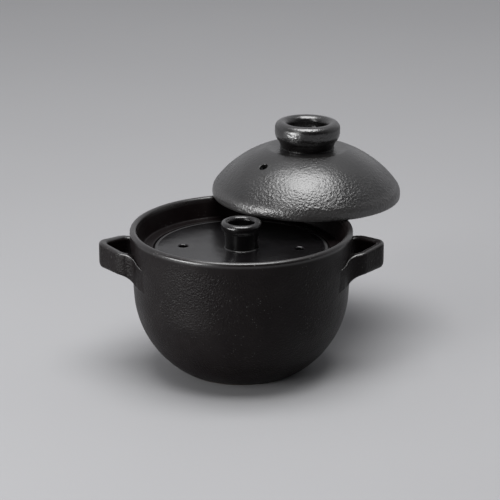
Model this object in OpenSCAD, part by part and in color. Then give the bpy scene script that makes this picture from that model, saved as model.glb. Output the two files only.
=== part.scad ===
// Ceramic rice pot with two loop handles, a flat inner lid seated in its mouth
// and a domed outer lid set down leaning on the back of the rim.
// Millimetres. X runs along the handles, Y to the back, Z up. The origin is the centre of the foot.

/* [Pot body] */
// overall height of the pot, to the crown of the lip
pot_h = 127.5; // [110:0.5:180]
// outside radius at the lip
rim_r = 97.5; // [94:0.5:120]
// thickness of the rounded lip
lip_t = 6; // [4:0.5:9]
// how far the upper wall has drawn in from the lip where it meets the belly curve
wall_in = 3.35; // [2:0.05:8]
// height where the upper wall meets the belly curve
wall_low_z = 68.2; // [60:0.1:80]
// radius of the belly curve in section
belly_r = 84; // [76:0.5:100]
// thickness of the body wall
wall_t = 7; // [5:0.5:10]
// thickness of the pot's bottom
floor_t = 8; // [5:0.5:14]

/* [Foot] */
// distance of the foot inside the edge of the bottom
foot_inset = 3.4; // [0:0.1:12]
// height of the foot
foot_h = 2; // [1:0.5:8]

/* [Lid seats] */
// depth of the outer lid's seat below the lip
seat_depth = 18; // [12:0.5:24]
// gap all round between the outer lid's rim and the collar at the seat
outer_lid_gap = 1.5; // [0.5:0.1:3]
// gap all round between the inner lid's edge and its recess
inner_lid_gap = 0.7; // [0.3:0.1:2]
// width of the ledge under the inner lid
ledge_w = 6; // [3:0.5:12]
// thickness of the ledge at its edge
ledge_t = 6; // [4:0.5:10]
// height over which the ledge runs out into the wall below
ledge_run = 14; // [10:0.5:24]

/* [Handles] */
// distance that a handle stands out beyond the lip
grip_out = 27; // [22:0.5:40]
// radius of the loop at its tip
grip_tip_r = 14; // [10:0.5:18]
// radius of the loop at its two shoulders
grip_side_r = 15; // [10:0.5:20]
// distance of the shoulders' centres beyond the lip
grip_side_out = 1; // [0:0.5:6]
// outside half width of a handle
grip_half_w = 27.7; // [22:0.1:40]
// thickness of the strap
grip_t = 6; // [4:0.5:9]
// depth of the strap's top edge below the lip, at the tip
grip_top_tip = 13.5; // [8:0.5:18]
// depth of the strap's top edge below the lip, at the wall
grip_top_wall = 17.5; // [10:0.5:22]
// depth of the highest point of the strap's bottom edge below the lip
grip_low_tip = 32.8; // [28:0.1:38]
// depth of the strap's bottom edge below the lip, at the wall
grip_low_wall = 44; // [40:0.5:50]
// radius of the arch along the strap's bottom edge
grip_arch_r = 35.3; // [30:0.1:60]
// distance of the arch's middle beyond the lip
grip_arch_out = 20.1; // [16:0.1:26]
// radius of the fillet between a strap and the wall
grip_fillet = 14; // [6:0.5:20]

/* [Inner lid] */
// distance of the inner lid's edge inside the outside of the pot's lip
inner_in = 21.2; // [18:0.1:30]
// thickness of the inner lid's disc
inner_t = 6.5; // [5:0.5:10]
// rounding of the disc's top edge
inner_round = 2.5; // [1:0.1:4]
// radius of a steam hole in the inner lid
inner_hole_r = 4; // [2:0.1:6]
// distance of the inner lid's steam holes from its centre
inner_hole_at = 51; // [30:0.5:60]
// turn of the line of holes away from the handles
inner_hole_turn = -3.7; // [-90:0.1:90]
// radius of the inner knob at its foot
inner_knob_base_r = 14.4; // [12:0.1:17]
// outside radius of the inner knob's ring
inner_knob_r = 18; // [16:0.1:22]
// radius of the inner knob's mouth
inner_knob_mouth_r = 11.2; // [9:0.1:13]
// height of the inner knob above the disc
inner_knob_h = 24; // [18:0.5:30]
// depth of the hollow in the inner knob
inner_knob_hollow = 20; // [8:0.5:22]
// radius of the hollow curve up the inner knob's neck
inner_knob_neck = 60; // [20:1:200]
// radius of the bulge that carries on the ring's side
inner_knob_cheek_r = 7.2; // [6.5:0.1:9]
// depth of that bulge's lower edge below the middle of the ring
inner_knob_cheek_h = 5.6; // [4:0.1:6]

/* [Outer lid] */
// distance of the outer lid's rim inside the outside of the pot's lip
outer_in = 12.5; // [10:0.1:16]
// rounding of the rim's bottom edge
outer_round = 2.6; // [1:0.1:5]
// height of the rim's upright band
outer_band = 5.2; // [5:0.1:12]
// radius of the shoulder curve in section
shoulder_r = 11.9; // [8:0.1:20]
// angle up the shoulder where the dome curve takes over
shoulder_ang = 36.7; // [30:0.1:50]
// radius of the dome curve in section
dome_r = 94.4; // [85:0.1:120]
// height of the flat around the knob, above the rim
crown_h = 45.6; // [42:0.1:50]
// thickness of the dome
dome_t = 6; // [4:0.5:9]
// radius of the steam hole in the outer lid
outer_hole_r = 3.8; // [2:0.1:6]
// distance of that steam hole from the lid's axis
outer_hole_at = 55; // [40:0.1:66]
// direction of that steam hole round the lid
outer_hole_turn = -136; // [-180:1:180]
// radius of the outer knob at its foot
outer_knob_base_r = 23.8; // [20:0.1:28]
// outside radius of the outer knob's ring
outer_knob_r = 29.4; // [26:0.1:34]
// radius of the outer knob's mouth
outer_knob_mouth_r = 15.4; // [12:0.1:18]
// height of the outer knob above the flat
outer_knob_h = 24.2; // [20:0.1:30]
// depth of the hollow in the outer knob
outer_knob_hollow = 18; // [12:0.5:20]
// radius of the hollow curve up the outer knob's neck
outer_knob_neck = 20; // [10:1:200]
// radius of the bulge that carries on the ring's side
outer_knob_cheek_r = 12; // [11:0.1:16]
// depth of that bulge's lower edge below the middle of the ring
outer_knob_cheek_h = 9.2; // [8:0.1:10]

/* [Outer lid as set down] */
// direction from the pot's axis to the lid's, round from the right handle
set_dir = 58.4; // [40:0.1:140]
// clearance in plan between the outer lid's rim and the inner lid's knob
set_clear = 8.9; // [2:0.1:20]
// outward lean of the lid over the rim
set_lean = 1.55; // [0:0.05:6]
// clearance between the lid's rim and the crown of the lip
set_gap = 0.03; // [0.01:0.01:0.3]

/* [Quality] */
// facets round a full turn
fn = 120; // [48:8:360]

/* [Hidden] */
$fn = fn;
over = 1;
// how far a straight run starts inside the curve that it carries on
tuck = 0.002;
// how far a knob's bowl runs into the ring around its mouth
mouth_in = 0.05;
// the round lip, and the outer wall and the collar that run into it without a corner
lip_r = lip_t / 2;
lip_c = [rim_r - lip_r, pot_h - lip_r];
wall_low_r = rim_r - wall_in;
function lean_to_lip(p, side) =
    let (v = lip_c - p) atan2(v[0], v[1]) + side * asin(lip_r / norm(v));
wall_lean = lean_to_lip([wall_low_r, wall_low_z], 1);
wall_top = lip_c + (lip_r - tuck) * [cos(wall_lean), -sin(wall_lean)];
function wall_at(z) = wall_low_r + tan(wall_lean) * (z - wall_low_z);
// the belly curve carries on from the wall
belly_c = [wall_low_r, wall_low_z] - belly_r * [cos(wall_lean), -sin(wall_lean)];
function belly_top(r) = belly_c + r * [cos(wall_lean), -sin(wall_lean)];
foot_r = belly_c[0] + sqrt(pow(belly_r, 2) - pow(belly_c[1] - foot_h, 2)) - foot_inset;
floor_z = foot_h + floor_t;
// the two lids and their seats
outer_r = rim_r - outer_in;
inner_r = rim_r - inner_in;
seat_z = pot_h - seat_depth;
seat_r = outer_r + outer_lid_gap;
collar_lean = lean_to_lip([seat_r, seat_z], -1);
collar_top = lip_c + (lip_r - tuck) * [-cos(collar_lean), sin(collar_lean)];
recess_r = inner_r + inner_lid_gap;
ledge_z = seat_z - inner_t;
ledge_r = recess_r - ledge_w;
ledge_low = ledge_z - ledge_t;
run_low = ledge_low - ledge_run;
// loop of a handle in plan
grip_reach = rim_r + grip_out;
tip_x = grip_reach - grip_tip_r;
side_c = [rim_r + grip_side_out, grip_half_w - grip_side_r];
side_turn = atan2(tip_x - side_c[0], side_c[1])
    + asin((grip_side_r - grip_tip_r) / norm([tip_x, 0] - side_c));
grip_wall_r = wall_at(pot_h - grip_low_wall);
grip_root_r = grip_wall_r - wall_t / 2;
// a flare runs out this far below the wall's surface, and starts this far inside the shoulder
flare_in = 0.3;
flare_start = 0.02;
// the centre of a flare's circle of radius r, which lies outside the wall and the shoulder
function flare_centre(r) =
    let (a = grip_wall_r - flare_in + r, b = grip_side_r - flare_start + r, d = norm(side_c),
         u = (a * a - b * b + d * d) / (2 * d), h = sqrt(a * a - u * u))
    [u * side_c[0] - h * side_c[1], u * side_c[1] + h * side_c[0]] / d;
// shoulder and dome circles of the outer lid, the first lying inside the second
shoulder_c = [outer_r - shoulder_r, outer_band];
dome_c = shoulder_c - (dome_r - shoulder_r + tuck) * [cos(shoulder_ang), sin(shoulder_ang)];
join_r = dome_c[0] + dome_r * cos(shoulder_ang);
function dome_height(r) = dome_c[1] + sqrt(pow(dome_r, 2) - pow(r - dome_c[0], 2));
// the lid lies on the lip where the inside edge of its rim crosses the crown
set_dist = outer_r + inner_knob_r + set_clear;
crown_r = rim_r - lip_r;
cross_r = outer_r - dome_t;
cross_at = (pow(crown_r, 2) - pow(cross_r, 2) + pow(set_dist, 2)) / (2 * set_dist);
// how far a knob's neck reaches down into what carries it
knob_root = 3;
// centre of the concave arc of radius r from p up to q, bulging towards the axis
function hollow_centre(p, q, r) =
    let (c = norm(q - p), k = sqrt(r * r - c * c / 4) / c)
    (p + q) / 2 + k * [q[1] - p[1], p[0] - q[0]];

// node shown alone, or all of them

// the belly curve of radius r above a floor, running on a little past the wall's lower end
module belly_section(r, low) {
    intersection() {
        translate(belly_c) circle(r = r);
        translate([0, low]) square([2 * rim_r, belly_top(r)[1] + 2 * over - low]);
    }
}

module pot_solid_section() {
    start = belly_top(belly_r - tuck);
    belly_section(belly_r, foot_h);
    polygon([[0, start[1] - over], [start[0] - wall_t, start[1] - over], start,
             wall_top, lip_c, [0, lip_c[1]]]);
    translate(lip_c) circle(r = lip_r);
    square([foot_r, foot_h + over]);
}

module cavity_section() {
    start = belly_top(belly_r - wall_t - tuck);
    belly_section(belly_r - wall_t, floor_z);
    polygon([[0, start[1] - over], [start[0] - wall_t, start[1] - over], start,
             [wall_at(run_low) - wall_t, run_low], [ledge_r, ledge_low], [ledge_r, ledge_z],
             [recess_r, ledge_z], [recess_r, seat_z], [seat_r, seat_z], collar_top,
             [collar_top[0], pot_h + over], [0, pot_h + over]]);
}

module pot_body() {
    color("#2a2726") rotate_extrude() difference() {
        pot_solid_section();
        cavity_section();
    }
}

// outline of a handle in plan, drawn in by a margin
module loop_plan(margin) {
    out = [sin(side_turn), cos(side_turn)];
    side_r = grip_side_r - margin;
    tip = [tip_x, 0] + (grip_tip_r - margin - tuck) * out;
    side = side_c + (side_r - tuck) * out;
    half_w = side_c[1] + side_r - tuck;
    translate([tip_x, 0]) circle(r = grip_tip_r - margin);
    for (m = [-1, 1]) translate([side_c[0], m * side_c[1]]) circle(r = side_r);
    polygon([tip, side, [side_c[0], half_w], [0, half_w], [0, -half_w], [side_c[0], -half_w],
             [side[0], -side[1]], [tip[0], -tip[1]]]);
}

module flare_plan() {
    c = flare_centre(grip_fillet);
    difference() {
        polygon([[0, 0], c, side_c]);
        translate(c) circle(r = grip_fillet);
    }
}

// the strap in plan, with its flares; it ends inside the wall, clear of the cavity
module grip_plan() {
    difference() {
        union() {
            loop_plan(0);
            flare_plan();
            mirror([0, 1]) flare_plan();
        }
        loop_plan(grip_t);
        circle(r = grip_root_r);
    }
}

// outline of a handle seen from the front
module grip_side_view() {
    difference() {
        polygon([[grip_wall_r, pot_h - grip_top_wall], [grip_reach + over, pot_h - grip_top_tip],
                 [grip_reach + over, pot_h - grip_low_wall], [0, pot_h - grip_low_wall],
                 [0, pot_h - grip_top_wall]]);
        translate([rim_r + grip_arch_out, pot_h - grip_low_tip - grip_arch_r]) circle(r = grip_arch_r);
    }
}

module grip() {
    color("#2f2b29") intersection() {
        translate([0, 0, pot_h - grip_low_wall - over])
            linear_extrude(height = grip_low_wall) grip_plan();
        translate([0, rim_r, 0]) rotate([90, 0, 0]) linear_extrude(height = 2 * rim_r)
            grip_side_view();
    }
}

module pot() {
    pot_body();
    for (a = [0, 180]) rotate([0, 0, a]) grip();
}

// a bowl as wide as 2 m at a rise above its lowest point, with an upright wall if it is deep
module bowl_section(m, rise) {
    r = rise < m ? (m * m + rise * rise) / (2 * rise) : m;
    translate([0, r]) circle(r = r);
    if (rise > m) translate([0, m]) square([m, rise - m + over]);
}

// a knob that stands on height 0: a hollow neck, a cheek that bulges out over it, a round ring
// whose side the cheek carries on, and a bowl sunk in from the top
module knob_section(base_r, ring_r, mouth_r, height, hollow, neck, cheek_r, cheek_h) {
    tube = (ring_r - mouth_r) / 2;
    ring_c = [ring_r - tube, height - tube];
    cheek_c = [ring_r - cheek_r - tuck, ring_c[1]];
    foot = [base_r, 0];
    under = cheek_c + [sqrt(pow(cheek_r - tuck, 2) - pow(cheek_h, 2)), -cheek_h];
    difference() {
        union() {
            difference() {
                polygon([[0, -knob_root], [base_r, -knob_root], foot, under,
                         [under[0], ring_c[1]], [0, ring_c[1]]]);
                translate(hollow_centre(foot, under, neck)) circle(r = neck);
            }
            intersection() {
                translate(cheek_c) circle(r = cheek_r);
                translate([0, under[1] - over]) square([ring_r, cheek_h + over]);
            }
        }
        translate([0, height - hollow]) bowl_section(mouth_r + mouth_in, hollow - tube);
    }
    translate(ring_c) circle(r = tube);
}

module inner_disc() {
    color("#26262a") difference() {
        translate([0, 0, ledge_z]) rotate_extrude() {
            square([inner_r, inner_t - inner_round]);
            square([inner_r - inner_round, inner_t]);
            translate([inner_r - inner_round, inner_t - inner_round]) circle(r = inner_round);
        }
        for (a = [0, 180]) rotate([0, 0, inner_hole_turn + a])
            translate([inner_hole_at, 0, ledge_z - over]) cylinder(r = inner_hole_r, h = inner_t + 2 * over);
    }
}

module inner_knob() {
    color("#1f1f22") translate([0, 0, seat_z]) rotate_extrude()
        knob_section(inner_knob_base_r, inner_knob_r, inner_knob_mouth_r, inner_knob_h,
                     inner_knob_hollow, inner_knob_neck, inner_knob_cheek_r, inner_knob_cheek_h);
}

module inner_lid() {
    inner_disc();
    inner_knob();
}

module dome_section() {
    translate([outer_r - outer_round, outer_round]) circle(r = outer_round);
    square([outer_r - outer_round, outer_band]);
    translate([0, outer_round]) square([outer_r, outer_band - outer_round]);
    intersection() {
        translate(shoulder_c) circle(r = shoulder_r);
        translate([0, outer_band]) square([outer_r, outer_r]);
    }
    intersection() {
        translate(dome_c) circle(r = dome_r);
        translate([0, outer_band - over]) square([join_r, crown_h - outer_band + over]);
    }
}

module under_section() {
    intersection() {
        translate(dome_c) circle(r = dome_r - dome_t);
        translate([0, -over]) square([outer_r - dome_t, crown_h - dome_t + over]);
    }
}

module dome_shell() {
    color("#2b2827") difference() {
        rotate_extrude() difference() {
            dome_section();
            under_section();
        }
        rotate([0, 0, outer_hole_turn]) translate([outer_hole_at, 0, dome_height(outer_hole_at)])
            rotate([0, asin((outer_hole_at - dome_c[0]) / dome_r), 0])
                cylinder(r = outer_hole_r, h = 4 * dome_t, center = true);
    }
}

module outer_knob() {
    color("#1f1f22") translate([0, 0, crown_h]) rotate_extrude()
        knob_section(outer_knob_base_r, outer_knob_r, outer_knob_mouth_r, outer_knob_h,
                     outer_knob_hollow, outer_knob_neck, outer_knob_cheek_r, outer_knob_cheek_h);
}

module outer_lid() {
    translate([0, 0, pot_h + set_gap]) rotate([0, 0, set_dir]) translate([cross_at, 0, 0])
        rotate([0, set_lean, 0]) translate([set_dist - cross_at, 0, 0]) rotate([0, 0, -set_dir]) {
            dome_shell();
            outer_knob();
        }
}

pot();
inner_lid();
outer_lid();
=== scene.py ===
import math

import bpy
import numpy as np
from mathutils import Matrix, Vector, noise


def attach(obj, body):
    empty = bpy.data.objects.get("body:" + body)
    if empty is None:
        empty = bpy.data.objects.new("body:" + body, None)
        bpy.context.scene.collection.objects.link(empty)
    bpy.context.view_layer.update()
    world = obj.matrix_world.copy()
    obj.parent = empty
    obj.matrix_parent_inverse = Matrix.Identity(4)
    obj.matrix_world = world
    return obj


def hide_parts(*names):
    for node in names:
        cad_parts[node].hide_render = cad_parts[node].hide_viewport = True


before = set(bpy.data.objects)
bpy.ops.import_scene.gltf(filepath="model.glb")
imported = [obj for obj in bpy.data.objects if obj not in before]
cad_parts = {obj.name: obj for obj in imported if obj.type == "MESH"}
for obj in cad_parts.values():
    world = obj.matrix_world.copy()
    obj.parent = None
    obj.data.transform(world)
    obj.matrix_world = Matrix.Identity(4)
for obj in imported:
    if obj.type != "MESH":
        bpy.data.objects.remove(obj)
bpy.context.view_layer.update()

MM = 0.001

# Camera, fitted to the photo's outlines: tilt in degrees, distance in metres, focal length
# in pixels, and the pixel where the middle of the mouth's plane lies
PHOTO_PX = 500
SENSOR_MM = 36.0
CAM_DOWN = 18.35
CAM_AWAY = 2.2674
CAM_FOCAL = 2600.0
AIM_PX = (241.4, 227.35)

# Pot: the lip's section, the foot of the straight wall and its lean in degrees, the belly's
# curve, the outer lid's seat, the recess of the inner lid and the ledge under it
POT_H = 127.5
LIP_R = 3.0
LIP = (94.5, 124.5)
WALL_LOW = (94.15, 68.2)
WALL_LEAN = 3.41
BELLY_R = 84.0
WALL_T = 7.0
FLOOR_Z = 10.0
FOOT_R = 51.5
FOOT_H = 2.0
SEAT_R = 86.5
SEAT_Z = 109.5
COLLAR_LEAN = 17.9
RECESS_R = 77.0
LEDGE_R = 71.0
LEDGE_Z = 103.0
LEDGE_LOW = 97.0
RUN_LOW = 83.0

# Handles in plan: shoulder and tip of the loop, thickness of the strap, and the flare onto
# the wall with the tail that runs on along it, its proudness and how it sinks into the wall
SIDE_C = (98.5, 12.7)
SIDE_R = 15.0
TIP_X = 110.5
TIP_R = 14.0
STRAP_T = 7.4
FLARE_R = 14.0
FLARE_PROUD = 1.9
FLARE_TAIL = 13.0
TAIL_SINK = 1.5
ROOT_IN_X = 91.0
ROOT_SUNK = 4.0

# Handles in height: top edge at the wall and the tip and how far past it the rise goes on,
# arch of the lower edge with its sag towards the tip, drop of the flare's ridge and how late
# it falls
GRIP_TOP_TIP = 115.0
GRIP_TOP_WALL = 110.8
GRIP_PAST = 1.1
GRIP_LOW_WALL = 83.5
GRIP_MID = 97.0
GRIP_SAG = 2.4
SAG_X = (100.0, 115.0)
ARCH_C = (117.6, 59.4)
ARCH_R = 35.3
FLARE_DROP = 10.5
FLARE_FALL = 1.5
PLAN_Z = (80.0, 116.0)

# A strap's section: rounding of its edges, how much deeper the lower ones are near the tip,
# and how the rounding grows from least as the strap leaves the wall
STRAP_EDGE = 2.9
STRAP_DEEP = 0.9
DEEP_R = (108.0, 120.0)
EDGE_LEAST = 0.5
EDGE_GROWTH = 0.45
EDGE_MOST = 0.49

# Clay pressed onto the wall: reach and size of the spread under a strap and in its loop
ROOT_REACH = 3.5
ROOT_SPREAD = 1.8
LOOP_REACH = 4.5
LOOP_SPREAD = 2.0

# Inner lid
INNER_R = 76.8
INNER_LIFT = 0.05
INNER_CHAMFER = 0.8
INNER_ROUND = 2.5
INNER_HOLE_R = 3.9
INNER_HOLE_SOFT = 1.6
INNER_HOLE_AT = 51.0
INNER_HOLE_TURN = -3.7

# Outer lid, in its own frame with the rim at height 0, and how it is set down: direction,
# distance and lean of its axis, and the gap over the lip
OUTER_R = 85.0
BAND_H = 5.2
RIM_ROUND = 2.6
SHOULDER_R = 11.9
SHOULDER_ANG = 36.7
DOME_R = 94.4
DOME_T = 6.0
CROWN_H = 45.6
OUTER_HOLE_R = 3.8
OUTER_HOLE_SOFT = 0.8
OUTER_HOLE_AT = 55.0
OUTER_HOLE_TURN = -136.0
SET_DIR = 58.4
SET_DIST = 111.9
SET_LEAN = 1.55
SET_GAP = 0.03

# Knobs: foot, ring, mouth, neck curve, the cheek under the ring and the fillet at the foot
INNER_KNOB = dict(base=14.4, ring=18.0, mouth=11.2, height=24.0, hollow=20.0, neck=60.0,
                  side=0.0, cheek=7.2, cheek_h=5.6, skirt=1.1)
OUTER_KNOB = dict(base=23.8, ring=29.4, mouth=17.6, height=24.2, hollow=18.0, neck=20.0,
                  side=3.4, cheek=12.0, cheek_h=8.6, skirt=1.1)
KNOB_SUNK = 1.2
SKIRT_SUNK = 0.03

# Spacing of a mesh's rows along each stretch of an outline, the width over which corners are
# eased, and the points round each turned piece
POT_ROWS = dict(foot=2.0, wall=1.1, lip=0.6, seats=1.0, cavity=3.0)
DISC_ROWS = dict(under=3.0, edge=0.7, top=1.0)
DOME_ROWS = dict(under=2.5, rim=0.7, over=0.72, crown=1.2)
KNOB_ROWS = dict(inside=1.5, skirt=0.3, neck=0.6, cheek=0.5, ring=0.45, bowl=0.9)
EASE = dict(pot=0.9, dome=0.9, disc=0.5, knob=0.4)
AROUND = dict(pot=520, dome=580, disc=360, outer_knob=280, inner_knob=180, hole=72)
ARC_STEP = 0.5
RIM_STEP = 0.4
ROUND_STEP = 0.3
FINE_STEP = 0.2

# Relief: width and depth of a crinkle, depth of the slow swells, and how flat crinkles lie
POT_RELIEF = dict(cell=2.4, depth=0.022, slow=0.10)
STRAP_RELIEF = dict(cell=3.6, depth=0.03, slow=0.10)
DISC_RELIEF = dict(cell=3.6, depth=0.0, slow=0.12)
DOME_RELIEF = dict(cell=2.6, depth=0.085, slow=0.10, flat=1.5)
INNER_KNOB_RELIEF = dict(cell=3.6, depth=0.03, slow=0.10)
OUTER_KNOB_RELIEF = dict(cell=2.8, depth=0.09, slow=0.12)

# Where the pot is crinkled: spans of radius on the leaning wall and on the belly below the
# split, of height over the foot and up to the smoother lip, and the cavity that is left out
CRINKLED_LEAN = 0.06
CRINKLED_WALL_R = (82.0, 84.0)
CRINKLED_BELLY_R = (54.0, 60.0)
CRINKLED_SPLIT_Z = 60.0
CRINKLED_FOOT_Z = (FOOT_H, 8.0)
SMOOTH_LIP_Z = (112.0, 121.5)
LIP_SMOOTHER = 0.92
CAVITY_C = (10.3, 73.2)
CAVITY_R = 80.5
CAVITY_TOP = 68.0

# Where the outer lid is crinkled, in its own heights: the skin of the dome and its rim, the
# start at the rim's edge, deeper low down, shallower high up, and the side of its knob
DOME_SKIN = 2.5
RIM_SKIN = 3
RIM_START_Z = (0.5, 2.5)
DEEPER_Z = (18.0, 8.0)
DEEPER = 0.5
SHALLOWER_Z = (24.0, 40.0)
SHALLOWER = 0.75
KNOB_SIDE_Z = (21.0, 16.0)
KNOB_RING_SHARE = 0.2

# Lights, in degrees, metres and watts: a large softbox above the pot, a low one at the front
# left that the wall, knobs and dome's rim mirror, and a weak fill
OVERHEAD = dict(azimuth=0, elevation=86, distance=1.9, width=1.5, height=1.2, power=50.0)
FRONT_LEFT = dict(azimuth=-56, elevation=3, distance=1.5, width=0.9, height=0.38, power=22.0)
FILL = dict(azimuth=-44, elevation=31, distance=2.2, width=0.5, height=0.9, power=8.0)
LIGHTS_AIM = (0.01, 0.02, 0.1)

# Surroundings: strength behind the pot and on the camera's side, the share left on the right,
# where each turns into the other, and the tint
BACKDROP_LEVEL = 0.645
FRONT_LEVEL = 0.02
RIGHT_SHARE = 0.65
FRONT_TO_BACK = (-0.7, 0.4)
MIDDLE_TO_RIGHT = (0.45, 0.85)
SKY_TINT = (0.97, 0.97, 1.0, 1)
FLOOR_SIZE = 6000.0


# Outlines


def polar(centre, radius, degrees):
    """The point at a radius and direction from a centre."""
    a = math.radians(degrees)
    return (centre[0] + radius * math.cos(a), centre[1] + radius * math.sin(a))


def angle_to(a, b):
    """Direction in degrees from one point to another."""
    return math.degrees(math.atan2(b[1] - a[1], b[0] - a[0]))


def arc(centre, radius, start, end, step=ARC_STEP):
    """Points along a circle from one direction in degrees to another."""
    count = max(2, math.ceil(abs(math.radians(end - start)) * radius / step))
    return [polar(centre, radius, start + (end - start) * i / count) for i in range(count + 1)]


def run_along(points):
    """Length along a polyline at each of its points."""
    return np.concatenate([[0], np.cumsum(np.linalg.norm(np.diff(points, axis=0), axis=1))])


def evenly(points, step):
    """A polyline's points again, at even steps along it."""
    p = np.asarray(points, float)
    run = run_along(p)
    at = np.linspace(0, run[-1], max(2, int(round(run[-1] / step)) + 1))
    return np.stack([np.interp(at, run, p[:, k]) for k in range(p.shape[1])], axis=1)


def eased(points, width, step=FINE_STEP):
    """The polyline with its corners rounded over a width, and its ends where they were."""
    p = evenly(points, step)
    n = max(1, int(width / step))
    kernel = np.hanning(2 * n + 3)[1:-1]
    kernel /= kernel.sum()
    before = 2 * p[0] - p[n:0:-1]
    after = 2 * p[-1] - p[-2:-n - 2:-1]
    long = np.concatenate([before, p, after])
    return np.stack([np.convolve(long[:, k], kernel, "valid") for k in range(2)], axis=1)


def joined(parts, width):
    """Outline from parts that each have their own spacing, eased as one line."""
    whole = eased([p for part, _ in parts for p in part], width)
    run = run_along(whole)
    sizes = [run_along(np.asarray(part, float))[-1] for part, _ in parts]
    ends = np.concatenate([[0], np.cumsum(sizes)]) * run[-1] / sum(sizes)
    at = [0.0]
    for (_, step), start, end in zip(parts, ends[:-1], ends[1:]):
        count = max(1, round((end - start) / step))
        at += [start + (end - start) * (i + 1) / count for i in range(count)]
    return np.stack([np.interp(at, run, whole[:, k]) for k in range(2)], axis=1)


# Meshes


def new_object(name, verts, faces):
    """A smooth mesh in the scene from points in millimetres."""
    mesh = bpy.data.meshes.new(name)
    mesh.from_pydata((np.asarray(verts) * MM).tolist(), [], faces)
    mesh.shade_smooth()
    obj = bpy.data.objects.new(name, mesh)
    bpy.context.scene.collection.objects.link(obj)
    return obj


def grid_faces(rows, around):
    """Quads between rows of points, each row closed on itself."""
    i, j = np.meshgrid(np.arange(rows - 1), np.arange(around), indexing="ij")
    k = (j + 1) % around
    a = i * around
    b = a + around
    return np.stack([a + j, a + k, b + k, b + j], axis=-1).reshape(-1, 4).tolist()


def lathe(name, outline, around):
    """A solid of revolution. The outline runs from the axis round the section to the axis."""
    rows = np.asarray(outline, float)
    first, last = rows[0], rows[-1]
    rows = rows[1:-1]
    turn = np.linspace(0, 2 * math.pi, around, endpoint=False)
    circle = np.stack([np.cos(turn), np.sin(turn)], axis=1)
    flat = rows[:, None, :1] * circle[None]
    up = np.repeat(rows[:, None, 1:], around, axis=1)
    points = np.concatenate([flat, up], axis=2).reshape(-1, 3)
    verts = np.concatenate([points, [[0, 0, first[1]], [0, 0, last[1]]]])
    faces = grid_faces(len(rows), around)
    low = len(points)
    high = low + 1
    top = (len(rows) - 1) * around
    for j in range(around):
        k = (j + 1) % around
        faces.append([low, k, j])
        faces.append([high, top + j, top + k])
    return new_object(name, verts, faces)


def cut(obj, tool):
    """Takes the tool's space out of an object and deletes the tool."""
    mod = obj.modifiers.new("cut", "BOOLEAN")
    mod.operation = "DIFFERENCE"
    mod.solver = "EXACT"
    mod.object = tool
    bpy.context.view_layer.update()
    graph = bpy.context.evaluated_depsgraph_get()
    mesh = bpy.data.meshes.new_from_object(obj.evaluated_get(graph))
    obj.modifiers.clear()
    obj.data = mesh
    mesh.shade_smooth()
    bpy.data.objects.remove(tool)


def in_metres(place):
    """A placing matrix in millimetres, for a mesh in metres."""
    matrix = place.copy()
    matrix.translation = place.translation * MM
    return matrix


def steam_hole(radius, low, high, soften, place):
    """The shape of a steam hole whose edges are rounded where it meets both faces."""
    flare = radius + soften
    wide = flare + 3
    over = 4
    side = [(0.0, low - over), (wide, low - over)]
    side += arc((flare, low + soften), soften, 270, 180, FINE_STEP)
    side += arc((flare, high - soften), soften, 180, 90, FINE_STEP)
    side += [(wide, high + over), (0.0, high + over)]
    tool = lathe("hole", side, AROUND["hole"])
    tool.data.transform(in_metres(place))
    return tool


# Relief

# Bends of the crinkles, each with its size in cells and its rate, the width of the creases
# between cobbles, and the share of creases and cobbles in the height
BENDS = ((0.55, 0.45), (0.3, 1.3))
CREASE_W = 0.42
CREASE_SHARE = 0.9
COBBLE_SHARE = 0.85

# Slow swells: their size, and the share, rate and shift of the finer ones laid over them
SWELL = 17.0
SWELL_SHARE = 0.4
SWELL_RATE = 2.3
SWELL_SHIFT = (7.0, 3.0, 1.0)
LEAST_WEIGHT = 0.01

# Noise vectors, and so the bends, take their offsets from the clock unless a seed is set.
# This one is set so that each run gives the same relief.
NOISE_SEED = 1796034262
noise.seed_set(NOISE_SEED)


def fade(value, start, end):
    """0 at start and before it, 1 at end and beyond, smooth between."""
    t = np.clip((value - start) / (end - start), 0, 1)
    return t * t * (3 - 2 * t)


def crinkle(p, cell, flat):
    """Height of a crinkled glaze: small cobbles that run into each other, lower than wide."""
    q = Vector((p.x, p.y, p.z * flat)) / cell
    slow, quick = (size * noise.noise_vector(q * rate) for size, rate in BENDS)
    near = noise.voronoi(q + slow + quick)[0]
    crease = min(1.0, (near[1] - near[0]) / CREASE_W)
    cobble = 1.0 - min(1.0, near[0]) ** 2
    return CREASE_SHARE * crease + COBBLE_SHARE * cobble - 1.0


def swell(p):
    """Slow unevenness of clay finished by hand."""
    q = p / SWELL
    return noise.noise(q) + SWELL_SHARE * noise.noise(q * SWELL_RATE + Vector(SWELL_SHIFT))


def everywhere(points):
    """A mask that lets crinkles cover the whole piece."""
    return np.ones(len(points))


def nowhere(points):
    """A mask for a piece without crinkles."""
    return np.zeros(len(points))


def roughen(obj, mask, cell, depth, slow, flat=1.0):
    """Moves a mesh along its normals by crinkles where the mask says, and by slow swells."""
    mesh = obj.data
    count = len(mesh.vertices)
    points = np.empty(count * 3)
    normals = np.empty(count * 3)
    mesh.vertices.foreach_get("co", points)
    mesh.vertices.foreach_get("normal", normals)
    points = points.reshape(-1, 3) / MM
    normals = normals.reshape(-1, 3)
    weights = mask(points)
    lift = np.empty(count)
    for i in range(count):
        p = Vector(points[i])
        lift[i] = slow * swell(p)
        if weights[i] > LEAST_WEIGHT:
            lift[i] += depth * weights[i] * crinkle(p, cell, flat)
    points += normals * lift[:, None]
    mesh.vertices.foreach_set("co", (points * MM).ravel())
    mesh.update()


# Pot


def wall_r(z):
    """Radius of the straight outer wall at a height."""
    return WALL_LOW[0] + math.tan(math.radians(WALL_LEAN)) * (z - WALL_LOW[1])


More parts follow.
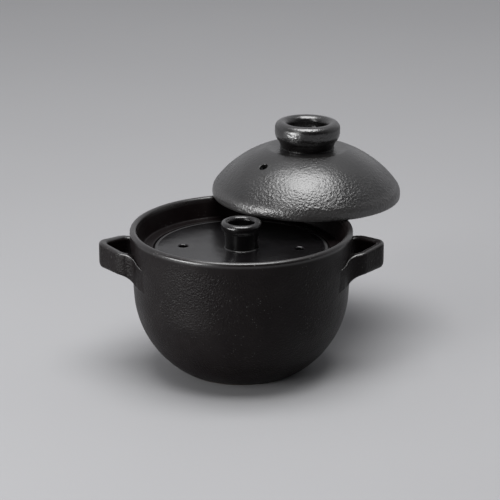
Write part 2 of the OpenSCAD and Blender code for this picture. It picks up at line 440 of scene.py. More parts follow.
def pot_outline():
    """From the axis under the foot up the outside, over the lip and down to the cavity's floor."""
    belly_c = polar(WALL_LOW, -BELLY_R, -WALL_LEAN)
    cavity_r = BELLY_R - WALL_T
    low = math.degrees(math.asin((FOOT_H - belly_c[1]) / BELLY_R))
    floor = math.degrees(math.asin((FLOOR_Z - belly_c[1]) / cavity_r))
    foot = [(0, 0), (FOOT_R, 0), (FOOT_R, FOOT_H)]
    belly = arc(belly_c, BELLY_R, low, -WALL_LEAN)
    lip = arc(LIP, LIP_R, -WALL_LEAN, 180 - COLLAR_LEAN)
    seats = [(SEAT_R, SEAT_Z), (RECESS_R, SEAT_Z), (RECESS_R, LEDGE_Z), (LEDGE_R, LEDGE_Z)]
    under_ledge = [(LEDGE_R, LEDGE_LOW), (wall_r(RUN_LOW) - WALL_T, RUN_LOW)]
    cavity = under_ledge + arc(belly_c, cavity_r, -WALL_LEAN, floor) + [(0, FLOOR_Z)]
    parts = [(foot, POT_ROWS["foot"]),
             (foot[-1:] + belly + lip[:1], POT_ROWS["wall"]),
             (lip, POT_ROWS["lip"]),
             (lip[-1:] + seats, POT_ROWS["seats"]),
             (seats[-1:] + cavity, POT_ROWS["cavity"])]
    return joined(parts, EASE["pot"])


def pot_mask(points):
    """Crinkles cover the outside below the lip and fade out at the foot."""
    r = np.hypot(points[:, 0], points[:, 1])
    z = points[:, 2]
    wall = fade(r - CRINKLED_LEAN * z, *CRINKLED_WALL_R)
    belly = fade(r, *CRINKLED_BELLY_R)
    outside = np.where(z > CRINKLED_SPLIT_Z, wall, belly)
    in_curve = np.hypot(r - CAVITY_C[0], z - CAVITY_C[1]) < CAVITY_R
    in_cavity = in_curve & (z <= CAVITY_TOP)
    up_from_foot = fade(z, *CRINKLED_FOOT_Z)
    below_lip = 1 - LIP_SMOOTHER * fade(z, *SMOOTH_LIP_Z)
    return outside * ~in_cavity * up_from_foot * below_lip


def pot_shell():
    """The body with its lip, seats and cavity."""
    obj = lathe("pot_shell", pot_outline(), AROUND["pot"])
    roughen(obj, pot_mask, **POT_RELIEF)
    return obj


# Handles

# Pieces in a bend, a straight, a flare and its tail, and points in a corner and along the
# sides of a strap's section
BEND_PIECES = 14
LINE_POINTS = 22
FLARE_PIECES = 24
TAIL_PIECES = 14
CORNER_POINTS = 7
SIDE_POINTS = (24, 4, 24, 4)


def flare_centre(z):
    """Centre of a flare's circle at a height, touching the wall and the loop's shoulder."""
    a = wall_r(z) + FLARE_R
    b = SIDE_R + FLARE_R
    d = math.hypot(*SIDE_C)
    u = (a * a - b * b + d * d) / (2 * d)
    h = math.sqrt(a * a - u * u)
    return ((u * SIDE_C[0] - h * SIDE_C[1]) / d, (u * SIDE_C[1] + h * SIDE_C[0]) / d)


def bend(centre, radius, start, end):
    """An arc in a set number of pieces, so that a strap has the same rows at every height."""
    return [polar(centre, radius, start + (end - start) * i / BEND_PIECES)
            for i in range(BEND_PIECES + 1)]


def loop_side(thinner, out, to_flare):
    """Half of the loop in plan from its tip to its flare, on the outside or a thickness in."""
    tip = bend((TIP_X, 0), TIP_R - thinner, 0, out)
    side = bend(SIDE_C, SIDE_R - thinner, out, to_flare)
    return tip + np.linspace(tip[-1], side[0], LINE_POINTS)[1:-1].tolist() + side


def strap_plan(z):
    """Outer and inner points of half a strap in plan at a height, from its tip to its end."""
    c = flare_centre(z)
    wall = wall_r(z)
    gap = (SIDE_C[0] - TIP_X, SIDE_C[1])
    out = 90 - math.degrees(math.atan2(-gap[0], gap[1])
                            + math.asin((SIDE_R - TIP_R) / math.hypot(*gap)))
    to_flare = angle_to(SIDE_C, c)
    outside = loop_side(0, out, to_flare)
    inside = loop_side(STRAP_T, out, to_flare)
    end = angle_to((0, 0), c)
    last = end + math.degrees(FLARE_TAIL / wall)
    flare = [polar(c, FLARE_R - FLARE_PROUD * t, to_flare + 180 + (end - to_flare) * t)
             for t in np.linspace(0, 1, FLARE_PIECES + 1)[1:]]
    tail = [polar((0, 0), wall + FLARE_PROUD * (1 - TAIL_SINK * t), end + (last - end) * t)
            for t in np.linspace(0, 1, TAIL_PIECES + 1)[1:]]
    into = (ROOT_IN_X, SIDE_C[1] + SIDE_R - STRAP_T)
    sunk = polar((0, 0), wall - ROOT_SUNK, last)
    root = np.linspace(inside[-1], into, TAIL_PIECES + 1)[1:].tolist()
    root += np.linspace(into, sunk, FLARE_PIECES + 1)[1:].tolist()
    outer = np.array(outside + flare + tail, float)
    inner = np.array(inside + root, float)
    along_flare = np.linspace(0, 1, len(outer) - len(outside))
    progress = np.concatenate([np.zeros(len(outside)), along_flare])
    return outer, inner, progress


def section(width, height, edge, deep):
    """A strap's section as shares of its width and height, rounded more deeply at the bottom."""
    e = min(edge, EDGE_MOST * width, EDGE_MOST * height)
    rises = (e * deep, e, e, e * deep)
    mids = ((width - e, rises[0]), (width - e, height - e), (e, height - e), (e, rises[3]))
    corners = []
    for k, (mid, rise) in enumerate(zip(mids, rises)):
        for i in range(CORNER_POINTS):
            x, z = polar((0, 0), 1.0, 90 * (k - 1) + 90 * i / (CORNER_POINTS - 1))
            corners.append((mid[0] + e * x, mid[1] + rise * z))
    points = []
    for side, count in enumerate(SIDE_POINTS):
        corner = corners[CORNER_POINTS * side:CORNER_POINTS * (side + 1)]
        following = corners[CORNER_POINTS * (side + 1) % len(corners)]
        points += corner
        points += np.linspace(corner[-1], following, count)[1:-1].tolist()
    return np.array(points) / (width, height)


def strap_top(x):
    """Height of a strap's upper edge, which rises from the wall to the tip."""
    wall = wall_r(GRIP_LOW_WALL)
    share = np.clip((x - wall) / (TIP_X + TIP_R - wall), 0, GRIP_PAST)
    return GRIP_TOP_WALL + (GRIP_TOP_TIP - GRIP_TOP_WALL) * share


def strap_low(x):
    """Height of a strap's lower edge, an arch that ends level on the wall."""
    rise = np.sqrt(np.clip(ARCH_R ** 2 - (x - ARCH_C[0]) ** 2, 0, None))
    return np.maximum(ARCH_C[1] + rise - GRIP_SAG * fade(x, *SAG_X), GRIP_LOW_WALL)


def strap_row(outer, inner, progress):
    """One section of a strap, from its outer and inner points at the two heights of the plan."""
    mid_o = (outer[0] + outer[1]) / 2
    mid_i = (inner[0] + inner[1]) / 2
    width = np.linalg.norm(mid_o - mid_i)
    away = np.linalg.norm(mid_o)
    height = strap_top(mid_o[0]) - strap_low(mid_o[0])
    proud = max(0.0, away - wall_r(GRIP_MID))
    deep = 1.0 + STRAP_DEEP * fade(away, *DEEP_R)
    shape = section(width, height, min(STRAP_EDGE, EDGE_GROWTH * proud + EDGE_LEAST), deep)
    w, v = shape[:, :1], shape[:, 1]
    drop = FLARE_DROP * progress ** FLARE_FALL
    x = (mid_i + (mid_o - mid_i) * w)[:, 0]
    z = strap_low(x) + (strap_top(x) - drop - strap_low(x)) * v
    blend = ((z - PLAN_Z[0]) / (PLAN_Z[1] - PLAN_Z[0]))[:, None]
    o = outer[0] + (outer[1] - outer[0]) * blend
    n = inner[0] + (inner[1] - inner[0]) * blend
    return soften_root(n + (o - n) * w, z, w[:, 0], v)


def soften_root(xy, z, w, v):
    """Spreads a strap's lower edge where it nears the wall, as clay pressed onto it."""
    gap = np.hypot(xy[:, 0], xy[:, 1]) - np.array([wall_r(h) for h in z])
    near = np.clip((ROOT_REACH - gap) / ROOT_REACH, 0, 1) ** 2
    z = z + ROOT_SPREAD * near * np.minimum(2 * v - 1, 0) ** 3
    hole = np.clip((LOOP_REACH - gap) / LOOP_REACH, 0, 1) ** 2 * (1 - w) ** 2
    y = xy[:, 1] - np.sign(xy[:, 1]) * LOOP_SPREAD * hole
    return np.stack([xy[:, 0], y, z], axis=1)


def mirrored(half):
    """Both halves of a strap's points in plan, from one half that starts at the tip."""
    return np.concatenate([half[:0:-1] * (1, -1), half])


def strap(name, turn):
    """One loop handle, its flares running out on the wall, turned round the pot's axis."""
    low, high = (strap_plan(z) for z in PLAN_Z)
    outers = [mirrored(plan[0]) for plan in (low, high)]
    inners = [mirrored(plan[1]) for plan in (low, high)]
    progress = np.concatenate([low[2][:0:-1], low[2]])
    rows = [strap_row([side[i] for side in outers], [side[i] for side in inners], progress[i])
            for i in range(len(progress))]
    verts = np.concatenate(rows)
    around = len(rows[0])
    faces = grid_faces(len(rows), around)
    faces.append(list(range(around)))
    faces.append(list(range(len(verts) - 1, len(verts) - around - 1, -1)))
    obj = new_object(name, verts, faces)
    obj.data.transform(Matrix.Rotation(math.radians(turn), 4, "Z"))
    roughen(obj, everywhere, **STRAP_RELIEF)
    return obj


# Lids


def knob_outline(base, ring, mouth, height, hollow, neck, side, cheek, cheek_h, skirt):
    """From the axis inside the lid, up the neck, over the cheek and ring and down into the bowl."""
    tube = (ring - mouth) / 2
    ring_c = (ring - tube, height - tube)
    cheek_c = (ring - cheek, ring_c[1] - side)
    under = (cheek_c[0] + math.sqrt(cheek ** 2 - cheek_h ** 2), cheek_c[1] - cheek_h)
    span = math.hypot(under[0] - base, under[1])
    k = math.sqrt(neck ** 2 - span ** 2 / 4) / span
    waist = ((base + under[0]) / 2 + k * under[1], under[1] / 2 - k * (under[0] - base))
    start = angle_to(waist, (base, 0)) % 360
    end = angle_to(waist, under) % 360
    inside = [(0, -KNOB_SUNK), (base + skirt, -KNOB_SUNK), (base + skirt, -SKIRT_SUNK)]
    foot = arc((base + skirt, skirt), skirt, 270, 180, FINE_STEP)
    neck_line = [p for p in arc(waist, neck, start, end) if p[1] > skirt]
    cheek_line = arc(cheek_c, cheek, -math.degrees(math.asin(cheek_h / cheek)), 0)
    ring_line = arc(ring_c, tube, 0, 180, ROUND_STEP)
    turn = np.radians(np.arange(0, 91, 3))
    bowl_r = mouth * np.sqrt(np.cos(turn).clip(0))
    bowl_z = height - hollow + min(hollow - tube, mouth) * (1 - np.sin(turn))
    bowl = [(mouth, ring_c[1])] + np.stack([bowl_r, bowl_z], axis=1).tolist()
    parts = [(inside, KNOB_ROWS["inside"]), (foot, KNOB_ROWS["skirt"]),
             (neck_line, KNOB_ROWS["neck"]), (cheek_line, KNOB_ROWS["cheek"]),
             (ring_line, KNOB_ROWS["ring"]), (bowl, KNOB_ROWS["bowl"])]
    return joined(parts, EASE["knob"])


def inner_disc():
    """The inner lid's disc with its two steam holes."""
    low, high = LEDGE_Z + INNER_LIFT, SEAT_Z
    under = [(0, low), (INNER_R - INNER_CHAMFER, low)]
    edge = under[-1:] + [(INNER_R, low + INNER_CHAMFER), (INNER_R, high - INNER_ROUND)]
    edge += arc((INNER_R - INNER_ROUND, high - INNER_ROUND), INNER_ROUND, 0, 90, ROUND_STEP)
    parts = [(under, DISC_ROWS["under"]), (edge, DISC_ROWS["edge"]),
             ([edge[-1], (0, high)], DISC_ROWS["top"])]
    obj = lathe("inner_lid_disc", joined(parts, EASE["disc"]), AROUND["disc"])
    roughen(obj, nowhere, **DISC_RELIEF)
    for turn in (INNER_HOLE_TURN, INNER_HOLE_TURN + 180):
        x, y = polar((0, 0), INNER_HOLE_AT, turn)
        place = Matrix.Translation((x, y, 0))
        cut(obj, steam_hole(INNER_HOLE_R, low, high, INNER_HOLE_SOFT, place))
    return obj


def inner_knob():
    """The hollow, flared knob of the inner lid."""
    obj = lathe("inner_lid_knob", knob_outline(**INNER_KNOB), AROUND["inner_knob"])
    roughen(obj, everywhere, **INNER_KNOB_RELIEF)
    obj.data.transform(Matrix.Translation((0, 0, SEAT_Z * MM)))
    return obj


def lid_place():
    """Where the outer lid lies: leaning outward about the line where it crosses the lip."""
    across = OUTER_R - DOME_T
    cross = (LIP[0] ** 2 - across ** 2 + SET_DIST ** 2) / (2 * SET_DIST)
    spin = Matrix.Rotation(math.radians(SET_DIR), 4, "Z")
    lean = Matrix.Rotation(math.radians(SET_LEAN), 4, "Y")
    up = Matrix.Translation((0, 0, POT_H + SET_GAP))
    to_line = Matrix.Translation((cross, 0, 0))
    to_axis = Matrix.Translation((SET_DIST - cross, 0, 0))
    return up @ spin @ to_line @ lean @ to_axis @ spin.inverted()


def dome_centre():
    """Centre of the dome's curve in section, so that it runs on from the shoulder."""
    shoulder_c = (OUTER_R - SHOULDER_R, BAND_H)
    return polar(shoulder_c, SHOULDER_R - DOME_R, SHOULDER_ANG)


def dome_outline():
    """From the axis under the crown, out along the underside, round the rim and over the dome."""
    c = dome_centre()
    inner = DOME_R - DOME_T
    under_r = OUTER_R - DOME_T
    under_top = CROWN_H - DOME_T
    rim_r = OUTER_R - RIM_ROUND
    a = math.degrees(math.asin((under_top - c[1]) / inner))
    b = math.degrees(math.acos((under_r - c[0]) / inner))
    crown = math.degrees(math.asin((CROWN_H - c[1]) / DOME_R))
    under = [(0, under_top)] + arc(c, inner, a, b) + [(under_r, 0)]
    rim = [(under_r, 0), (rim_r, 0)] + arc((rim_r, RIM_ROUND), RIM_ROUND, -90, 0, RIM_STEP)
    over = arc((OUTER_R - SHOULDER_R, BAND_H), SHOULDER_R, 0, SHOULDER_ANG)
    over += arc(c, DOME_R, SHOULDER_ANG, crown)
    parts = [(under, DOME_ROWS["under"]), (rim, DOME_ROWS["rim"]), (over, DOME_ROWS["over"]),
             ([over[-1], (0, CROWN_H)], DOME_ROWS["crown"])]
    return joined(parts, EASE["dome"])


def dome_mask(points):
    """Crinkles cover the dome's outside, deeper near the rim and shallower towards the knob."""
    c = dome_centre()
    r = np.hypot(points[:, 0], points[:, 1])
    z = points[:, 2]
    over = np.hypot(r - c[0], z - c[1]) > DOME_R - DOME_SKIN
    band = r > OUTER_R - RIM_SKIN
    deeper = 1 + DEEPER * fade(z, *DEEPER_Z)
    shallower = 1 - SHALLOWER * fade(z, *SHALLOWER_Z)
    return (over | band) * fade(z, *RIM_START_Z) * deeper * shallower


def outer_dome():
    """The outer lid's dome with its steam hole, in its place on the lip."""
    obj = lathe("outer_lid_dome", dome_outline(), AROUND["dome"])
    roughen(obj, dome_mask, **DOME_RELIEF)
    c = dome_centre()
    x, y = polar((0, 0), OUTER_HOLE_AT, OUTER_HOLE_TURN)
    lean = math.asin((OUTER_HOLE_AT - c[0]) / DOME_R)
    on_dome = Matrix.Translation((x, y, c[1] + DOME_R * math.cos(lean)))
    spin = Matrix.Rotation(math.radians(OUTER_HOLE_TURN), 4, "Z")
    place = on_dome @ spin @ Matrix.Rotation(lean, 4, "Y")
    cut(obj, steam_hole(OUTER_HOLE_R, -DOME_T, 0.0, OUTER_HOLE_SOFT, place))
    obj.data.transform(in_metres(lid_place()))
    return obj


def ring_mask(points):
    """Crinkles cover the knob's side and neck and almost leave its ring."""
    return KNOB_RING_SHARE + (1 - KNOB_RING_SHARE) * fade(points[:, 2], *KNOB_SIDE_Z)


def outer_knob():
    """The hollow, flared knob of the outer lid, in its place."""
    obj = lathe("outer_lid_knob", knob_outline(**OUTER_KNOB), AROUND["outer_knob"])
    roughen(obj, ring_mask, **OUTER_KNOB_RELIEF)
    obj.data.transform(Matrix.Translation((0, 0, CROWN_H * MM)))
    obj.data.transform(in_metres(lid_place()))
    return obj


# Materials

# Glazes: the darker and paler colour of the mottle, least and greatest roughness, specular
# level, and strength and cell size in metres of the leather
WALL_GLAZE = dict(dark=(0.0024, 0.0011, 0.0012), pale=(0.0040, 0.0025, 0.0026),
                  rough=(0.37, 0.48), specular=0.16, strength=0.75, cell=0.0015)
DOME_GLAZE = dict(dark=(0.0034, 0.0031, 0.0031), pale=(0.0072, 0.0067, 0.0067),
                  rough=(0.27, 0.35), specular=0.85, strength=0.6)
KNOB_GLAZE = dict(dark=(0.0020, 0.0016, 0.0017), pale=(0.0040, 0.0034, 0.0036),
                  rough=(0.26, 0.34), specular=0.8, strength=0.25)
INNER_GLAZE = dict(dark=(0.0024, 0.0020, 0.0023), pale=(0.0042, 0.0038, 0.0044),
                   rough=(0.20, 0.27), specular=0.42, strength=0.05)
INNER_KNOB_GLAZE = dict(dark=(0.0018, 0.0014, 0.0016), pale=(0.0034, 0.0028, 0.0031),
                        rough=(0.22, 0.30), specular=0.7, strength=0.08)
MOTTLE = dict(scale=55.0, detail=4.0)
MOTTLE_RANGE = (0.35, 0.68)
GLOSS = dict(scale=30.0, detail=3.0)
GLOSS_RANGE = (0.3, 0.7)

# Leather: bend of its cells as shares of their size, how far they melt into each other, its
# height as a share of the cell, and scale and height in metres of the grain and pinholes
LEATHER_CELL = 0.0024
CELL_BEND_RATE = 0.4
CELL_BEND = 0.6
CELL_MELT = 0.5
LEATHER_H = 0.19
GRAIN = dict(scale=640.0, detail=4.0)
GRAIN_H = 0.0007
PINHOLES = dict(scale=1700.0, detail=2.0)
PINHOLE_H = 0.00012
PINHOLE_STRENGTH = 0.2

# Specks on the wall, painted glints of light: cells to a metre, edge and chance of a speck,
# where they crowd, their height in metres and colour
SPECK_RATE = 620.0
SPECK_EDGE = (0.10, 0.34)
SPECK_CHANCE = (0.72, 0.97)
SPECK_CROWDS = dict(scale=38.0, detail=2.0)
CROWD_RANGE = (0.42, 0.62)
CROWD_SHARE = (0.1, 0.85)
SPECK_H = 0.0003
GLINT_SPECK_COLOUR = (0.085, 0.085, 0.083)

# Raw clay under the foot, thin glaze on edges, and the pale bands of the two lids, which are
# painted light
CLAY = dict(scale=240.0, detail=5.0)
CLAY_DARK = (0.030, 0.024, 0.020)
CLAY_PALE = (0.070, 0.056, 0.046)
CLAY_ROUGH = 0.9
THIN_GLOSS = 0.68
THIN_SPECULAR = 0.75
DOME_BAND_PAINTED_LIGHT = (0.030, 0.029, 0.029)
DOME_BAND_ROUGHER = 0.02
INNER_RIM_PAINTED_LIGHT = (0.034, 0.033, 0.034)
INNER_RIM_ROUGH = 0.5
NECK_SPECULAR = 0.2

# Where each glaze changes, in millimetres from the pot's top, the ledge, the foot, the crown
# or the edge named in the function, and what is left of the leather or the pale rim there
LIP_THIN = (-6.0, -2.5)
WALL_TOP = (-15.5, -5.0)
LIP_LEAST = 0.06
MOUTH_IN = (-4.0, -2.0)
SEATS_UP = (-3.0, 1.0)
SEATS_SMOOTHER = 0.9
FOOT_BARE = (-1.1, -0.1)
DOME_BAND = (6.5, 16.5)
DOME_SMOOTH = (18.5, 38.5)
DOME_LEAST = 0.4
NECK_DULL = (6.4, 13.4)
RIM_BAND_IN = (-4.6, -2.6)
RIM_EDGE = (-1.6, -0.6)
RIM_LEAST = 0.15

# How far a handle's surface faces up where its edge starts and is full, and the leather left
EDGE_FACING = (0.15, 0.75)
EDGE_CRINKLED = 0.3

# Paper of the studio floor
PAPER = dict(scale=3.0, detail=3.0)
PAPER_DARK = (0.300, 0.300, 0.308)
PAPER_PALE = (0.315, 0.315, 0.322)
PAPER_ROUGH = 0.85
PAPER_SPECULAR = 0.2


class Nodes:
    """A material's nodes, made and joined in short lines."""

    def __init__(self, name):
        self.mat = bpy.data.materials.new(name)
        self.mat.use_nodes = True
        self.tree = self.mat.node_tree
        self.shader = self.tree.nodes["Principled BSDF"]
        self.place = self.add("ShaderNodeTexCoord").outputs["Object"]

    def add(self, kind, inputs=None, **settings):
        """A new node with its settings made and its inputs fed."""
        node = self.tree.nodes.new(kind)
        for key, value in settings.items():
            setattr(node, key, value)
        for key, value in (inputs or {}).items():
            self.put(node.inputs[key], value)
        return node

    def put(self, socket, value):
        """Joins a socket to another one, or sets it to a plain value."""
        if isinstance(value, bpy.types.NodeSocket):
            self.tree.links.new(value, socket)
        else:
            socket.default_value = value

    def feed(self, name, value):
        """Feeds one of the shader's inputs."""
        self.put(self.shader.inputs[name], value)

    def fed(self, name):
        """What feeds one of the shader's inputs so far."""
        return self.shader.inputs[name].links[0].from_socket

    def maths(self, kind, a, b):
        """Two values added, multiplied or compared, as the kind says."""
        return self.add("ShaderNodeMath", {0: a, 1: b}, operation=kind).outputs[0]

    def spread(self, value, span, to_low, to_high):
        """A value mapped smoothly from a span to another range and held at its ends."""
        inputs = {"Value": value, "From Min": span[0], "From Max": span[1],
                  "To Min": to_low, "To Max": to_high}
        return self.add("ShaderNodeMapRange", inputs, interpolation_type="SMOOTHSTEP").outputs[0]

    def noise(self, scale, detail, result="Fac"):
        """Cloudy noise over the piece, as a value or a colour."""
        inputs = {"Vector": self.place, "Scale": scale, "Detail": detail}
        return self.add("ShaderNodeTexNoise", inputs).outputs[result]

    def mix(self, share, a, b):
        """One colour blended into another by a share."""
        node = self.add("ShaderNodeMix", data_type="RGBA")
        for key, value in ((0, share), (6, a), (7, b)):
            self.put(node.inputs[key], (*value, 1) if isinstance(value, tuple) else value)
        return node.outputs[2]

    def axis(self, name, vector=None):
        """One coordinate of a vector, or else of the place in metres."""
        return self.add("ShaderNodeSeparateXYZ", {"Vector": vector or self.place}).outputs[name]

    def radius(self):
        """Distance from the pot's axis in metres."""
        inputs = {"X": self.axis("X"), "Y": self.axis("Y")}
        flat = self.add("ShaderNodeCombineXYZ", inputs).outputs[0]
        return self.add("ShaderNodeVectorMath", {0: flat}, operation="LENGTH").outputs["Value"]

    def crinkles(self, cell):
        """Height of fine crinkles whose cells have a size in metres."""
        turned = self.noise(CELL_BEND_RATE / cell, 1.0, "Color")
        size = (CELL_BEND * cell,) * 3
        shift = self.add("ShaderNodeVectorMath", {0: turned, 1: size}, operation="MULTIPLY")
        inputs = {0: self.place, 1: shift.outputs[0]}
        moved = self.add("ShaderNodeVectorMath", inputs, operation="ADD")
        inputs = {"Vector": moved.outputs[0], "Scale": 1 / cell, "Smoothness": CELL_MELT}
        return self.add("ShaderNodeTexVoronoi", inputs, feature="SMOOTH_F1").outputs["Distance"]

    def bump(self, height, strength, distance, under=None):
        """A normal tilted by a height in metres, over another one or the bare surface."""
        inputs = {"Height": height, "Strength": strength, "Distance": distance}
        node = self.add("ShaderNodeBump", inputs)
        if under is not None:
            self.put(node.inputs["Normal"], under)
        return node.outputs["Normal"]


def beside(length, span):
    """A span of offsets from a length, in the metres that a material measures in."""
    return tuple((length + offset) * MM for offset in span)


def leather(n, strength, share, cell):
    """Crinkles of two sizes over a fine pinholed grain, faded by a share."""
    faded = n.maths("MULTIPLY", share, strength)
    normal = n.bump(n.crinkles(cell), faded, LEATHER_H * cell)
    normal = n.bump(n.noise(**GRAIN), faded, GRAIN_H, normal)
    return n.bump(n.noise(**PINHOLES), PINHOLE_STRENGTH, PINHOLE_H, normal)


def glaze(name, dark, pale, rough, specular, strength, cell=LEATHER_CELL, where=None):
    """Fired near-black glaze: mottled colour, uneven gloss and a surface of crinkles."""
    n = Nodes(name)
    mottle = n.spread(n.noise(**MOTTLE), MOTTLE_RANGE, 0.0, 1.0)
    share = where(n) if where else 1.0
    n.feed("Base Color", n.mix(mottle, dark, pale))
    n.feed("Roughness", n.spread(n.noise(**GLOSS), GLOSS_RANGE, *rough))
    n.feed("Specular IOR Level", specular)
    n.feed("Normal", leather(n, strength, share, cell))
    return n


def dome_share(n):
    """1 low on the dome and less towards the knob, where the glaze ran smoother."""
    return n.spread(n.axis("Z"), beside(POT_H, DOME_SMOOTH), 1.0, DOME_LEAST)


def lip_share(n):
    """1 on the lip, 0 below it."""
    return n.spread(n.axis("Z"), beside(POT_H, LIP_THIN), 0.0, 1.0)


def wall_share(n):
    """1 on the outer wall, near 0 on the lip, in the mouth and on the seats."""
    below = n.spread(n.axis("Z"), beside(POT_H, WALL_TOP), 1.0, LIP_LEAST)
    inside = n.spread(n.radius(), beside(LIP[0], MOUTH_IN), SEATS_SMOOTHER, 0.0)
    above = n.spread(n.axis("Z"), beside(LEDGE_LOW, SEATS_UP), 0.0, 1.0)
    seats = n.maths("MULTIPLY", inside, above)
    return n.maths("MULTIPLY", below, n.maths("SUBTRACT", 1.0, seats))


def edge_share(n):
    """1 on the upper edge of a handle, where the glaze ran thin, and 0 on its sides."""
    facing = n.add("ShaderNodeTexCoord").outputs["Normal"]
    return n.spread(n.axis("Z", facing), EDGE_FACING, 0.0, 1.0)


def side_share(n):
    """1 on a handle's sides and less on its upper edge."""
    return n.spread(edge_share(n), (0.0, 1.0), 1.0, EDGE_CRINKLED)


def glint_specks(n):
    """Small round pale specks that crowd in places, painted glints of light on the glaze."""
    inputs = {"Vector": n.place, "Scale": SPECK_RATE}
    cells = n.add("ShaderNodeTexVoronoi", inputs)
    luck = n.add("ShaderNodeSeparateColor", {"Color": cells.outputs["Color"]}).outputs[0]
    dot = n.spread(cells.outputs["Distance"], SPECK_EDGE, 1.0, 0.0)
    chosen = n.spread(luck, SPECK_CHANCE, 0.0, 1.0)
    crowd = n.spread(n.noise(**SPECK_CROWDS), CROWD_RANGE, *CROWD_SHARE)
    return n.maths("MULTIPLY", n.maths("MULTIPLY", dot, chosen), crowd)


def body_glaze(name, smooth, crinkled):
    """Satin and crinkled on the wall, glossy where smooth says, raw clay under the foot."""
    n = glaze(name, **WALL_GLAZE, where=crinkled)
    thin = smooth(n)
    bare = n.spread(n.axis("Z"), beside(FOOT_H, FOOT_BARE), 1.0, 0.0)
    # Pale specks painted into the colour as glints of light on the crinkles
    glint_dots = glint_specks(n)
    clay = n.mix(n.noise(**CLAY), CLAY_DARK, CLAY_PALE)
    glint_speckled = n.mix(glint_dots, n.fed("Base Color"), GLINT_SPECK_COLOUR)
    gloss = n.maths("MULTIPLY", n.fed("Roughness"), n.spread(thin, (0.0, 1.0), 1.0, THIN_GLOSS))
    n.feed("Normal", n.bump(glint_dots, 1.0, SPECK_H, n.fed("Normal")))
    n.feed("Base Color", n.mix(bare, glint_speckled, clay))
    n.feed("Roughness", n.maths("MAXIMUM", gloss, n.maths("MULTIPLY", bare, CLAY_ROUGH)))
    shine = n.spread(thin, (0.0, 1.0), WALL_GLAZE["specular"], THIN_SPECULAR)
    n.feed("Specular IOR Level", shine)
    return n.mat


def dome_glaze():
    """Crinkled and satin, a little rougher low down, and paler there, which is painted light."""
    n = glaze("dome_glaze", **DOME_GLAZE, where=dome_share)
    low = n.spread(n.axis("Z"), beside(POT_H, DOME_BAND), 1.0, 0.0)
    rougher = n.maths("MULTIPLY", low, DOME_BAND_ROUGHER)
    # Painted light: the low band is made paler to stand in for the light it catches
    n.feed("Base Color", n.mix(low, n.fed("Base Color"), DOME_BAND_PAINTED_LIGHT))
    n.feed("Roughness", n.maths("ADD", n.fed("Roughness"), rougher))
    shine = n.spread(low, (0.0, 1.0), DOME_GLAZE["specular"], 1.0)
    n.feed("Specular IOR Level", shine)
    return n.mat


def knob_glaze():
    """Glossy on the ring and bowl, dull on the neck, which faces nothing bright."""
    n = glaze("knob_glaze", **KNOB_GLAZE)
    shine = n.spread(n.axis("Z"), beside(POT_H + CROWN_H, NECK_DULL), NECK_SPECULAR, 1.0)
    n.feed("Specular IOR Level", shine)
    return n.mat


def inner_glaze():
    """Smooth and satin, matt round the rim, with a pale band painted there as a highlight."""
    n = glaze("inner_glaze", **INNER_GLAZE)
    radius = n.radius()
    band_in = n.spread(radius, beside(INNER_R, RIM_BAND_IN), 0.0, 1.0)
    edge = n.spread(radius, beside(INNER_R, RIM_EDGE), 1.0, RIM_LEAST)
    rim = n.maths("MULTIPLY", band_in, edge)
    matt = n.maths("MULTIPLY", rim, INNER_RIM_ROUGH)
    # Painted highlight: a pale band round the rim stands in for the light it catches
    n.feed("Base Color", n.mix(rim, n.fed("Base Color"), INNER_RIM_PAINTED_LIGHT))
    n.feed("Roughness", n.maths("MAXIMUM", n.fed("Roughness"), matt))
    return n.mat


def floor_paper():
    """Plain pale paper, slightly uneven."""
    n = Nodes("studio_floor")
    n.feed("Base Color", n.mix(n.noise(**PAPER), PAPER_DARK, PAPER_PALE))
    n.feed("Roughness", PAPER_ROUGH)
    n.feed("Specular IOR Level", PAPER_SPECULAR)
    return n.mat


# Studio


def studio_floor():
    """A large plain floor under the pot."""
    s = FLOOR_SIZE
    obj = new_object("floor", [(-s, -s, 0), (s, -s, 0), (s, s, 0), (-s, s, 0)], [[0, 1, 2, 3]])
    obj.data.materials.append(floor_paper())


def softbox(name, azimuth, elevation, distance, width, height, power):
    """An area light aimed at the pot. Azimuth 0 is the camera's side and grows to the right."""
    a, e = math.radians(azimuth), math.radians(elevation)
    away = Vector((math.sin(a) * math.cos(e), -math.cos(a) * math.cos(e), math.sin(e)))
    lamp = bpy.data.lights.new(name, "AREA")
    lamp.shape = "RECTANGLE"
    lamp.size = width
    lamp.size_y = height
    lamp.energy = power
    obj = bpy.data.objects.new(name, lamp)
    obj.location = Vector(LIGHTS_AIM) + away * distance
    obj.rotation_euler = away.to_track_quat("Z", "Y").to_euler()
    bpy.context.scene.collection.objects.link(obj)


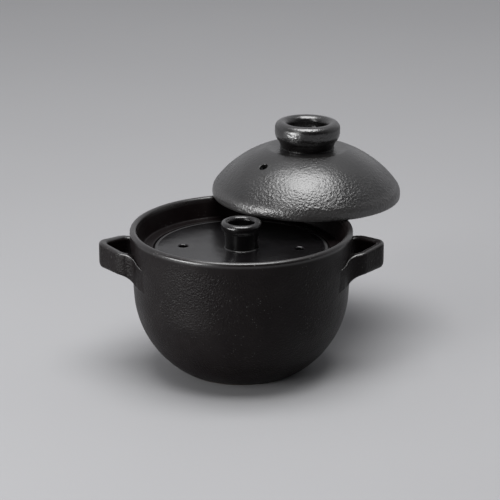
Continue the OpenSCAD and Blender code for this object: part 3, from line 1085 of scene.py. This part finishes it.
def surroundings():
    """Soft grey all round, darker on the camera's side and outside the picture on the right."""
    world = bpy.data.worlds.new("studio")
    bpy.context.scene.world = world
    world.use_nodes = True
    nodes, links = world.node_tree.nodes, world.node_tree.links
    way = nodes.new("ShaderNodeTexCoord")
    parts = nodes.new("ShaderNodeSeparateXYZ")
    links.new(way.outputs["Generated"], parts.inputs[0])

    def turning(axis, span, low, high):
        """A value that turns smoothly from low to high along an axis."""
        node = nodes.new("ShaderNodeMapRange")
        node.interpolation_type = "SMOOTHSTEP"
        links.new(parts.outputs[axis], node.inputs["Value"])
        node.inputs["From Min"].default_value = span[0]
        node.inputs["From Max"].default_value = span[1]
        node.inputs["To Min"].default_value = low
        node.inputs["To Max"].default_value = high
        return node.outputs[0]

    both = nodes.new("ShaderNodeMath")
    both.operation = "MULTIPLY"
    links.new(turning("Y", FRONT_TO_BACK, FRONT_LEVEL, BACKDROP_LEVEL), both.inputs[0])
    links.new(turning("X", MIDDLE_TO_RIGHT, 1.0, RIGHT_SHARE), both.inputs[1])
    shine = nodes["Background"]
    shine.inputs["Color"].default_value = SKY_TINT
    links.new(both.outputs[0], shine.inputs["Strength"])


def light():
    """The three softboxes and the surroundings."""
    softbox("overhead", **OVERHEAD)
    softbox("front_left", **FRONT_LEFT)
    softbox("fill", **FILL)
    surroundings()


def camera():
    """The photo's camera, shifted so that the pot lies where it does in the photo."""
    data = bpy.data.cameras.new("camera")
    data.sensor_width = SENSOR_MM
    data.lens = SENSOR_MM * CAM_FOCAL / PHOTO_PX
    data.shift_x = (PHOTO_PX / 2 - AIM_PX[0]) / PHOTO_PX
    data.shift_y = -(PHOTO_PX / 2 - AIM_PX[1]) / PHOTO_PX
    obj = bpy.data.objects.new("camera", data)
    tilt = math.radians(CAM_DOWN)
    obj.location = (0, -CAM_AWAY * math.cos(tilt), POT_H * MM + CAM_AWAY * math.sin(tilt))
    obj.rotation_euler = (math.pi / 2 - tilt, 0, 0)
    bpy.context.scene.collection.objects.link(obj)
    bpy.context.scene.camera = obj


# Assembly


def dress(obj, mat, slot, *nodes):
    """Gives a piece its material and lets it stand for its solids; the slot is not used."""
    obj.data.materials.clear()
    obj.data.materials.append(mat)
    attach(obj, "root")
    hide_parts(*nodes)


def build():
    """Makes every piece of the pot and its lids."""
    body = body_glaze("body_glaze", lip_share, wall_share)
    handle = body_glaze("handle_glaze", edge_share, side_share)
    inner_top = glaze("inner_knob_glaze", **INNER_KNOB_GLAZE).mat
    dress(pot_shell(), body, "body_glaze", "pot")
    dress(strap("handle_right", 0), handle, "body_glaze", "pot")
    dress(strap("handle_left", 180), handle, "body_glaze", "pot")
    dress(inner_disc(), inner_glaze(), "inner_glaze", "inner_lid")
    dress(inner_knob(), inner_top, "inner_glaze", "inner_lid")
    dress(outer_dome(), dome_glaze(), "outer_glaze", "outer_lid")
    dress(outer_knob(), knob_glaze(), "outer_glaze", "outer_lid")


bpy.context.scene.view_settings.view_transform = "Standard"
camera()
light()
studio_floor()
build()
